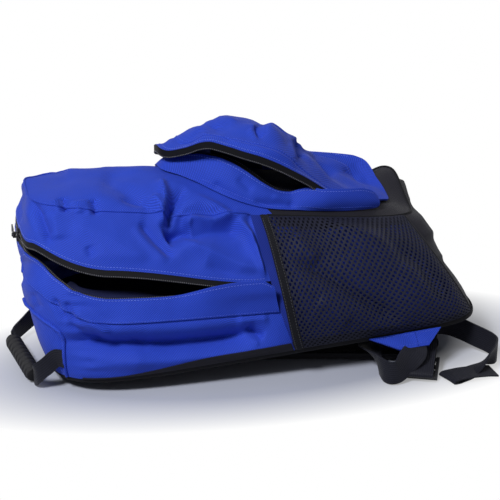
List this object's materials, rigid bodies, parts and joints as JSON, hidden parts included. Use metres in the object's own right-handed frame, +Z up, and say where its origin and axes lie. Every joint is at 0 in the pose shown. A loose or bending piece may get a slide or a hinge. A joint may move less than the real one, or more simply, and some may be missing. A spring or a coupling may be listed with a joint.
{
  "type": "daypack",
  "caption": "Soft daypack lying on its back, with gaping zips, a lifted front pocket, mesh side pockets, padded straps, adjuster webbing and a ribbed grab handle.",
  "frame": {"origin": "centre of the outline on the floor that the pack lies on", "axes": "+Z up, +X from the pack's top end to its base, +Y to the far side; the back panel faces down"},
  "size_m": [0.4903, 0.385, 0.2296],
  "materials": {
    "blue_cloth": "matte",
    "black_cloth": "matte",
    "back_mesh": "matte",
    "foam": "matte",
    "strap_cloth": "matte",
    "zip_tape": "matte",
    "zip_metal": "satin",
    "mesh": "matte",
    "binding": "matte",
    "buckle_plastic": "satin",
    "grip_rubber": "matte",
    "webbing": "matte"
  },
  "bodies": {
    "pack": {"back_cover": "back_mesh", "back_foam": "foam", "back_lining": "black_cloth", "rear_gusset_near": "blue_cloth", "rear_gusset_top": "blue_cloth", "rear_gusset_far": "blue_cloth", "front_gusset_near": "blue_cloth", "front_gusset_top": "blue_cloth", "front_gusset_far": "blue_cloth", "side_panel_near": "blue_cloth", "side_panel_far": "blue_cloth", "base_panel": "black_cloth", "front_panel": "blue_cloth", "storm_flap": "blue_cloth", "main_tape_lower": "zip_tape", "main_tape_upper": "zip_tape", "pocket_band": "blue_cloth", "pocket_tape_lower": "zip_tape", "pocket_tape_upper": "zip_tape", "pocket_gusset": "blue_cloth", "pocket_face": "blue_cloth", "mesh_pocket_near": "mesh", "mesh_hem_near": "binding", "mesh_pocket_far": "mesh", "mesh_hem_far": "binding", "strap_yoke_near": "black_cloth", "strap_wing_near": "blue_cloth", "lower_webbing_near": "webbing", "strap_yoke_far": "black_cloth", "strap_wing_far": "blue_cloth", "lower_webbing_far": "webbing"},
    "handle": {"handle_grip": "grip_rubber", "handle_webbing_near": "webbing", "handle_webbing_far": "webbing"},
    "strap_near": {"strap_pad_near": "strap_cloth", "strap_liner_near": "back_mesh", "strap_tab_near": "webbing"},
    "strap_far": {"strap_pad_far": "strap_cloth", "strap_liner_far": "back_mesh", "strap_tab_far": "webbing"},
    "ladder_lock_near": {"ladder_lock_near": "buckle_plastic"},
    "ladder_lock_far": {"ladder_lock_far": "buckle_plastic"},
    "main_slider_near": {"main_slider_near": "zip_metal"},
    "main_pull_near": {"main_pull_near": "zip_metal"},
    "main_slider_top": {"main_slider_top": "zip_metal"},
    "main_pull_top": {"main_pull_top": "zip_metal"},
    "pocket_slider": {"pocket_slider": "zip_metal"},
    "pocket_pull": {"pocket_pull": "zip_metal"}
  },
  "joints": [
    {"name": "handle_swing", "type": "hinge", "parent": "pack", "child": "handle", "pos_m": [-0.21511, -0.01338, 0.02709], "axis": [0, 1, 0], "range_deg": [0, 80]},
    {"name": "strap_near_swing", "type": "hinge", "parent": "pack", "child": "strap_near", "pos_m": [-0.1518, -0.048, 0.005], "axis": [0, 1, 0], "range_deg": [0, 35], "deforming": ["lower_webbing_near"]},
    {"name": "strap_far_swing", "type": "hinge", "parent": "pack", "child": "strap_far", "pos_m": [-0.1518, 0.048, 0.005], "axis": [0, 1, 0], "range_deg": [0, 35], "deforming": ["lower_webbing_far"]},
    {"name": "ladder_lock_near_tilt", "type": "hinge", "parent": "strap_near", "child": "ladder_lock_near", "pos_m": [0.1672, -0.142, 0.008], "axis": [-0.9171, 0.3987, 0], "range_deg": [-30, 20], "deforming": ["lower_webbing_near"]},
    {"name": "ladder_lock_far_tilt", "type": "hinge", "parent": "strap_far", "child": "ladder_lock_far", "pos_m": [0.1672, 0.142, 0.008], "axis": [0.9171, 0.3987, 0], "range_deg": [-30, 20], "deforming": ["lower_webbing_far"]},
    {"name": "main_slider_near_slide", "type": "slide", "parent": "pack", "child": "main_slider_near", "axis": [0.9996, 0, -0.0274], "range_m": [0, 0.022], "deforming": ["main_tape_lower", "main_tape_upper"]},
    {"name": "main_pull_near_swing", "type": "hinge", "parent": "main_slider_near", "child": "main_pull_near", "pos_m": [-0.02473, -0.12674, 0.0981], "axis": [-0.0232, -0.5278, -0.8491], "range_deg": [0, 12]},
    {"name": "main_slider_top_slide", "type": "slide", "parent": "pack", "child": "main_slider_top", "axis": [-0.0001, 1, 0], "range_m": [0, 0.03], "deforming": ["main_tape_lower", "main_tape_upper"]},
    {"name": "main_pull_top_swing", "type": "hinge", "parent": "main_slider_top", "child": "main_pull_top", "pos_m": [-0.23012, -0.00565, 0.12691], "axis": [0.0592, 0, 0.9982], "range_deg": [0, 150]},
    {"name": "pocket_slider_slide", "type": "slide", "parent": "pack", "child": "pocket_slider", "axis": [0.9916, -0.1245, -0.0349], "range_m": [0, 0.02], "deforming": ["pocket_tape_lower", "pocket_tape_upper"]},
    {"name": "pocket_pull_swing", "type": "hinge", "parent": "pocket_slider", "child": "pocket_pull", "pos_m": [0.00942, 0.06534, 0.17214], "axis": [0.0351, 0, 0.9994], "range_deg": [0, 150]}
  ]
}
